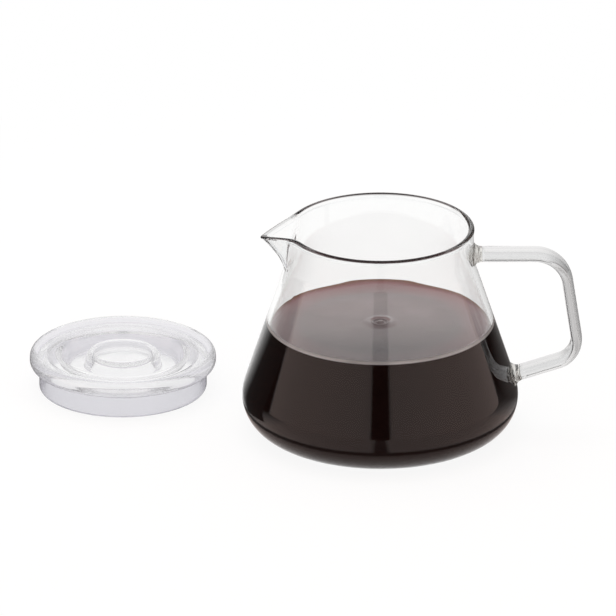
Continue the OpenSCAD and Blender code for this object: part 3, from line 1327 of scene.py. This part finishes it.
@dataclass
class Studio:
    """Camera, light, floor and surroundings. Lengths in millimetres, angles in degrees."""

    # Camera
    elevation: float = 22.4
    distance: float = 6000.0
    pixels_per_mm: float = 2.304
    frame_px: float = 616.0
    sensor_mm: float = 36.0
    axis_px: Point = (380.3, 427.0)
    clip_from: float = 100.0
    clip_to: float = 100000.0
    light_bounces: int = 40
    # Panels beside the camera and the backdrop behind the vessel, as mirror images show them
    panels: tuple[Panel, ...] = (
        Panel(Side.LEFT, 8.0, 103.0),
        Panel(Side.RIGHT, 8.0, 116.5),
    )
    edge_soft: float = 3.0
    panel_dim: float = 0.8
    panel_bright_at: float = 34.0
    panel_bright_over: float = 50.0
    panel_colour: Colour = (1.0, 0.8, 0.74)
    backdrop_from: float = 131.0
    backdrop_edge: float = 0.15
    backdrop_full: float = 166.0
    backdrop_soft: float = 22.0
    # Light of the gaps, and how light they, the backdrop and the ceiling are through the glass
    dark_light: float = 0.02
    gaps_seen_through: float = 0.15
    backdrop_seen_through: float = 0.9
    backdrop_seen_from: float = 125.0
    backdrop_seen_over: float = 20.0
    ceiling_seen_through: float = 0.97
    ceiling_from: float = 0.6
    ceiling_soft: float = 0.25
    # Lamp
    lamp_d: float = 1200.0
    lamp_watts: float = 6.0
    lamp_at: Place = (-150.0, 350.0, 1400.0)
    lamp_aim_h: float = 40.0
    # Floor, and how much of the studio mirror images find on it
    floor_colour: Colour = (0.94, 0.94, 0.94)
    floor_radius: float = 450.0
    floor_sides: int = 96
    floor_shadow: float = 0.1
    fade_at: float = 300.0
    fade_over: float = 200.0
    floor_mirrored: float = 0.85
    floor_narrower: float = 4.0
    floor_wider: float = 16.0
    floor_soft: float = 28.0
    near_radius: float = 72.0
    near_soft: float = 4.0
    near_mirrored: float = 0.38
    ring_radius: float = 66.0
    ring_soft: float = 2.0
    foot_radius: float = 50.0
    foot_mirrored: float = 1.0
    # Card between the lid and the vessel
    lid_card: Card = Card(
        name="lid_flag",
        start=(-83.9, -17.5),
        end=(-47.5, 71.3),
        bottom=0.0,
        top=60.0,
        near_glow=0.05,
        far_glow=1.0,
        bright_at=18.0,
        bright_over=20.0,
    )

    def camera(self) -> bpy.types.Object:
        """Places the camera: the vessel's foot lands on its pixel of the 616 pixel frame.

        Returns:
            The camera.
        """
        e = math.radians(self.elevation)
        centre = self.frame_px / 2
        right = (centre - self.axis_px[0]) / self.pixels_per_mm
        up = (self.axis_px[1] - centre) / self.pixels_per_mm
        aim = Vector((right, 0.0, up / math.cos(e)))
        look = Vector((0.0, math.cos(e), -math.sin(e)))
        data = bpy.data.cameras.new("camera")
        data.sensor_width = self.sensor_mm
        data.lens = self.pixels_per_mm * self.distance * self.sensor_mm / self.frame_px
        data.clip_start = self.clip_from * MM
        data.clip_end = self.clip_to * MM
        item = bpy.data.objects.new("camera", data)
        item.location = (aim - look * self.distance) * MM
        item.rotation_euler = (math.pi / 2 - e, 0.0, 0.0)
        bpy.context.scene.collection.objects.link(item)
        bpy.context.scene.camera = item
        return item

    @staticmethod
    def azimuth(direction: Socket) -> Socket:
        """Azimuth in degrees: 0 towards the camera, positive to its right."""
        radians = direction.maths("ARCTAN2", direction.part("X"), 0.0 - direction.part("Y"))
        return radians * math.degrees(1.0)

    def panels_at(self, azimuth: Socket, narrower: float, wider: float, soft: float,
                  ) -> tuple[Socket, Socket]:
        """Light of the studio by direction from the vessel's axis.

        Args:
            azimuth: the direction's azimuth.
            narrower: how far each side of the gap at the front moves in.
            wider: how far each side of the gaps at the sides moves out.
            soft: how softly the light ends there.

        Returns:
            The front panels and the backdrop, each from 0 to 1.
        """
        off = abs(azimuth)
        behind = off.above(self.backdrop_from + wider, soft) * self.backdrop_edge
        full = off.above(self.backdrop_full, self.backdrop_soft)
        behind = behind + full * (1 - self.backdrop_edge)
        lit: list[Socket] = []
        for panel in self.panels:
            aside = azimuth * panel.side.value
            inner = aside.above(panel.start - narrower, self.edge_soft)
            bright = aside.above(self.panel_bright_at, self.panel_bright_over)
            inner = inner * (bright * (1 - self.panel_dim) + self.panel_dim)
            lit.append(inner * (1 - aside.above(panel.end - wider, soft)))
        return sum(lit[1:], lit[0]), behind

    def world(self) -> None:
        """Surroundings: white where the camera looks, soft panels and dark gaps in the glass."""
        world = bpy.data.worlds.new("studio")
        bpy.context.scene.world = world
        world.use_nodes = True
        tree = world.node_tree
        tree.nodes.clear()
        ray = add_node(tree, "ShaderNodeTexCoord", output="Generated")
        azimuth = self.azimuth(ray)
        panels, behind = self.panels_at(azimuth, 0.0, 0.0, self.edge_soft)
        ceiling = ray.part("Z").above(self.ceiling_from, self.ceiling_soft)
        through = light_path(tree, "Transmission")
        back = abs(azimuth).above(self.backdrop_seen_from, self.backdrop_seen_over)
        seen = back * (self.backdrop_seen_through - self.gaps_seen_through) + self.gaps_seen_through
        seen = seen * (1 - ceiling) + ceiling * self.ceiling_seen_through
        least = through * (seen - self.dark_light) + self.dark_light
        level = ((behind + panels) * (1 - ceiling)).larger(least)
        camera = light_path(tree, "Camera")
        strength = level.larger(camera + light_path(tree, "Diffuse"))
        tinted = panels * (1 - camera) * (1 - through)
        colour = mix_colours(tinted, WHITE, self.panel_colour)
        shader = add_node(tree, "ShaderNodeBackground", {}, {"Color": colour, "Strength": strength})
        surface_out(tree, shader, "World")

    def lamp(self) -> bpy.types.Object:
        """One broad soft lamp above and behind, for the faint shadow on the floor.

        Returns:
            The lamp.
        """
        data = bpy.data.lights.new("overhead", "AREA")
        data.shape = "DISK"
        data.size = self.lamp_d * MM
        data.energy = self.lamp_watts
        item = bpy.data.objects.new("overhead", data)
        item.location = Vector(self.lamp_at) * MM
        aim = Vector((0.0, 0.0, self.lamp_aim_h)) * MM
        item.rotation_euler = (aim - item.location).to_track_quat("-Z", "Y").to_euler()
        item.visible_glossy = False
        item.visible_transmission = False
        bpy.context.scene.collection.objects.link(item)
        return item

    def mirrored_floor(self, place: Socket, far: Socket, seen: Socket) -> tuple[Socket, Socket]:
        """What mirror images find on the floor: the studio's light, dimmed under the vessel.

        Args:
            place: the place on the floor.
            far: its distance from the vessel's axis, in metres.
            seen: 1 for the rays that see the floor itself, which is white for them.

        Returns:
            How strongly the floor glows, and its colour.
        """
        panels, behind = self.panels_at(self.azimuth(place), self.floor_narrower,
                                        self.floor_wider, self.floor_soft)
        out = far.above(self.near_radius * MM, self.near_soft * MM)
        inside = 1 - far.above(self.ring_radius * MM, self.ring_soft * MM)
        foot = 1 - far.above((self.ring_radius + self.foot_radius) / 2 * MM,
                             (self.ring_radius - self.foot_radius) * MM)
        mirrored = (panels + behind) * out * self.floor_mirrored + self.dark_light
        mirrored = mirrored + inside * self.near_mirrored
        mirrored = mirrored + foot * (self.foot_mirrored - self.near_mirrored)
        warm = (panels * out + inside * (1 - foot)) * (1 - seen)
        return mirrored.larger(seen), mix_colours(warm, WHITE, self.panel_colour)

    def floor(self) -> bpy.types.Object:
        """White floor that shows a soft shadow near the pieces and fades into the backdrop.

        Returns:
            The floor.
        """
        rim = arc((0.0, 0.0), self.floor_radius * MM, 0.0, 360.0, self.floor_sides)[:-1]
        item = make_object("floor", [Vector((x, y, 0.0)) for x, y in rim], [list(range(len(rim)))])
        material, tree = new_material("white_floor")
        place = position(tree)
        far = add_node(tree, "ShaderNodeVectorMath", {"operation": "LENGTH"}, {0: place}, "Value")
        glow = far.above(self.fade_at * MM, self.fade_over * MM)
        glow = glow * self.floor_shadow + (1 - self.floor_shadow)
        seen = light_path(tree, "Camera").larger(light_path(tree, "Transmission"))
        strength, colour = self.mirrored_floor(place, far, seen)
        lit = add_node(tree, "ShaderNodeBsdfDiffuse", {}, {"Color": (*self.floor_colour, 1.0)})
        white = add_node(tree, "ShaderNodeEmission", {}, {"Color": colour, "Strength": strength})
        share = glow * seen.larger(light_path(tree, "Glossy"))
        surface_out(tree, add_node(tree, "ShaderNodeMixShader", {}, {0: share, 1: lit, 2: white}))
        item.data.materials.append(material)
        return item

    def card(self) -> bpy.types.Object:
        """Builds the card, which only mirror images meet, never the camera's own sight.

        Returns:
            The card.
        """
        card = self.lid_card
        low = [Vector((x, y, card.bottom)) for x, y in (card.start, card.end)]
        high = [Vector((x, y, card.top)) for x, y in (card.end, card.start)]
        item = make_object(card.name, [c * MM for c in low + high], [[0, 1, 2, 3]])
        material, tree = new_material(card.name)
        away = position(tree).part("Y").above(card.bright_at * MM, card.bright_over * MM)
        glow = away * (card.far_glow - card.near_glow) + card.near_glow
        inputs = {"Color": (*WHITE, 1.0), "Strength": glow}
        surface_out(tree, add_node(tree, "ShaderNodeEmission", {}, inputs))
        item.data.materials.append(material)
        item.visible_camera = False
        item.visible_diffuse = False
        item.visible_transmission = False
        item.visible_shadow = False
        return item

    def light_paths(self) -> None:
        """Lets light through as many faces in a row as the lid and the handle have."""
        cycles = bpy.context.scene.cycles
        cycles.max_bounces = self.light_bounces
        cycles.transmission_bounces = self.light_bounces
        cycles.glossy_bounces = self.light_bounces

    def build(self) -> None:
        """Sets up the whole studio."""
        bpy.context.scene.view_settings.view_transform = "Standard"
        self.light_paths()
        made = [self.camera(), self.floor(), self.lamp(), self.card()]
        self.world()
        LOG.info("studio: %s", [item.name for item in made])


# Each glass finish's second colour is a painted shade, standing in for the dark that the glass
# refracts: on the rim, the grip, the welds and the lid's flange and skirt.
VESSEL_GLASS = GlassFinish(
    name="clear_blown_glass",
    tint=(0.985, 0.992, 0.99),
    painted_shade=(0.03, 0.022, 0.022),
    ripple_mm=26.0,
    ripple_depth_mm=0.0,
)
BAR_GLASS = DrawnGlass(
    name="clear_bar_glass",
    tint=(0.96, 0.96, 0.96),
    painted_shade=(0.36, 0.36, 0.36),
    ripple_mm=2.6,
    ripple_depth_mm=0.04,
    streak_depth=0.3,
)
WELD_GLASS = GlassFinish(
    name="clear_weld_glass",
    tint=(0.9, 0.885, 0.85),
    painted_shade=(0.03, 0.024, 0.016),
    ripple_mm=4.0,
    ripple_depth_mm=0.22,
)
LID_GLASS = GlassFinish(
    name="clear_pressed_glass",
    tint=(0.98, 0.978, 0.984),
    painted_shade=(0.6, 0.59, 0.65),
    ripple_mm=18.0,
    ripple_depth_mm=0.02,
    haze=0.1,
)
# Both coffee finishes carry painted light: a pale band at the top of the wetted side, and a paler
# back, a red-tinged back rim and lighter edges on the surface.
COFFEE_ON_GLASS = WettedCoffee(
    name="coffee_on_glass",
    deep=(0.012, 0.004, 0.003),
    painted_top_light=(0.76, 0.67, 0.65),
    top_light_from_mm=49.1,
    top_light_over_mm=0.3,
)
COFFEE_SURFACE = CoffeeMirror(
    name="coffee_surface",
    front=(0.08, 0.064, 0.066),
    back=(0.30, 0.255, 0.26),
    rim=(0.40, 0.17, 0.18),
    rim_light_from_mm=40.0,
    rim_light_over_mm=12.0,
    near_edge_highlight=(0.17, 0.15, 0.15),
    far_edge_light=(0.30, 0.15, 0.08),
    edge_light_from_mm=46.8,
    edge_light_over_mm=1.2,
    film_mm=17.0,
)


def main() -> None:
    """Builds every piece in order."""
    logging.basicConfig(level=logging.INFO, format="%(name)s: %(message)s")
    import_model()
    vessel = Vessel()
    handle = Handle(vessel)
    outward = Vector((1.0, 0.0))
    Studio().build()
    made = [
        vessel.build(VESSEL_GLASS),
        handle.build_bar(BAR_GLASS),
        handle.build_weld("upper_weld_glass", "upper_weld", handle.upper_root, outward, WELD_GLASS),
        handle.build_weld("lower_weld_glass", "lower_weld", handle.lower_root, vessel.normal,
                          WELD_GLASS),
        Lid(vessel).build(LID_GLASS),
        Coffee(vessel).build(COFFEE_ON_GLASS, COFFEE_SURFACE),
    ]
    for piece in made:
        LOG.info("%s: %d faces", piece.name, len(piece.data.polygons))


if __name__ == "__main__":
    main()
